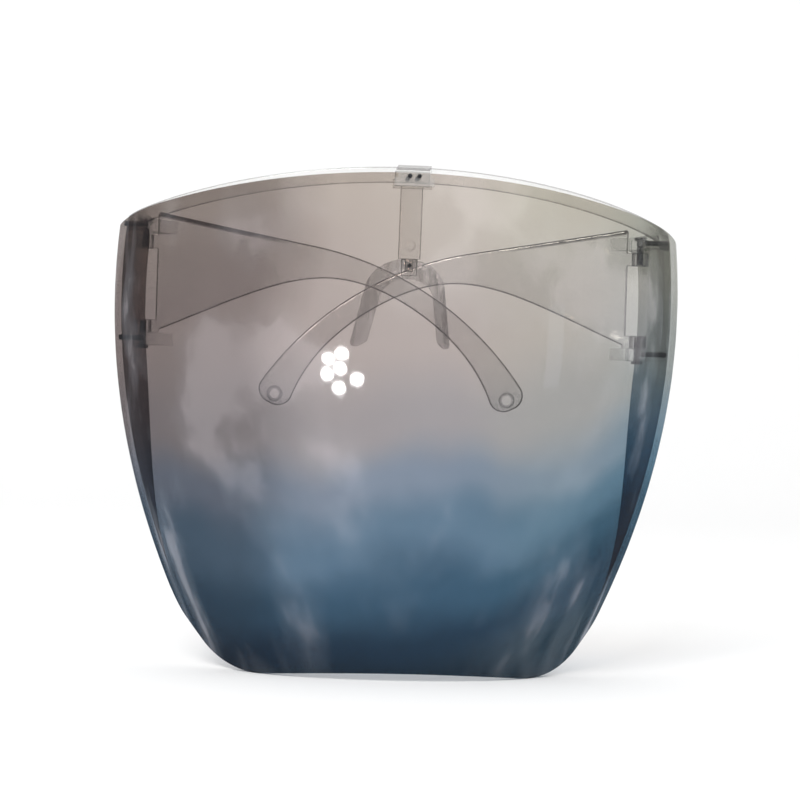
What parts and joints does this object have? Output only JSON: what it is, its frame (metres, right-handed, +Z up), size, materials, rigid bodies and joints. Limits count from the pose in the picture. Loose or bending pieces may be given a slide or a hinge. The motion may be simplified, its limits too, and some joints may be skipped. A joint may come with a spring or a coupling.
{
  "type": "face shield",
  "caption": "Full-face shield worn like glasses: one curved tinted visor on a brow bar, a nose pad on a stem, and two hinged temples, shown folded.",
  "frame": {"origin": "on the wearer's nose: the middle of the nose pad's inner arch, at its top", "axes": "+X towards the wearer's left, the wearer looks along -Y, +Z up"},
  "size_m": [0.172, 0.0804, 0.1468],
  "materials": {
    "visor_tint": "gloss, tinted, clear grey at the top to deep blue at the bottom",
    "clear_bar": "gloss, clear",
    "clear_clip": "gloss, clear",
    "clear_hinge_block": "gloss, clear",
    "clear_temple": "gloss, clear",
    "clear_silicone": "satin, clear",
    "eyelet": "gloss, clear",
    "rivet": "gloss, dark",
    "hinge_pin": "satin, light",
    "dark_pin": "gloss, dark"
  },
  "bodies": {
    "shield": {"visor": "visor_tint", "brow_bar": "clear_bar", "centre_clip": "clear_clip", "clip_pin_left": "dark_pin", "clip_pin_right": "dark_pin", "bridge_stem": "clear_clip", "nose_pad": "clear_silicone", "nose_pad_pin": "dark_pin", "left_end_piece": "clear_hinge_block", "right_end_piece": "clear_hinge_block", "left_upper_rivet": "rivet", "left_lower_rivet": "rivet", "right_upper_rivet": "rivet", "right_lower_rivet": "rivet", "left_upper_hinge_pin": "hinge_pin", "left_lower_hinge_pin": "hinge_pin", "right_upper_hinge_pin": "hinge_pin", "right_lower_hinge_pin": "hinge_pin"},
    "left_arm": {"left_temple": "clear_temple", "left_tip_eyelet": "eyelet"},
    "right_arm": {"right_temple": "clear_temple", "right_tip_eyelet": "eyelet"}
  },
  "joints": [
    {"name": "left_temple_hinge", "type": "hinge", "parent": "shield", "child": "left_arm", "pos_m": [0.0785, 0.0525, 0], "axis": [0, 0, -1], "range_deg": [0, 85]},
    {"name": "right_temple_hinge", "type": "hinge", "parent": "shield", "child": "right_arm", "pos_m": [-0.0785, 0.0525, 0], "axis": [0, 0, 1], "range_deg": [0, 90]}
  ]
}
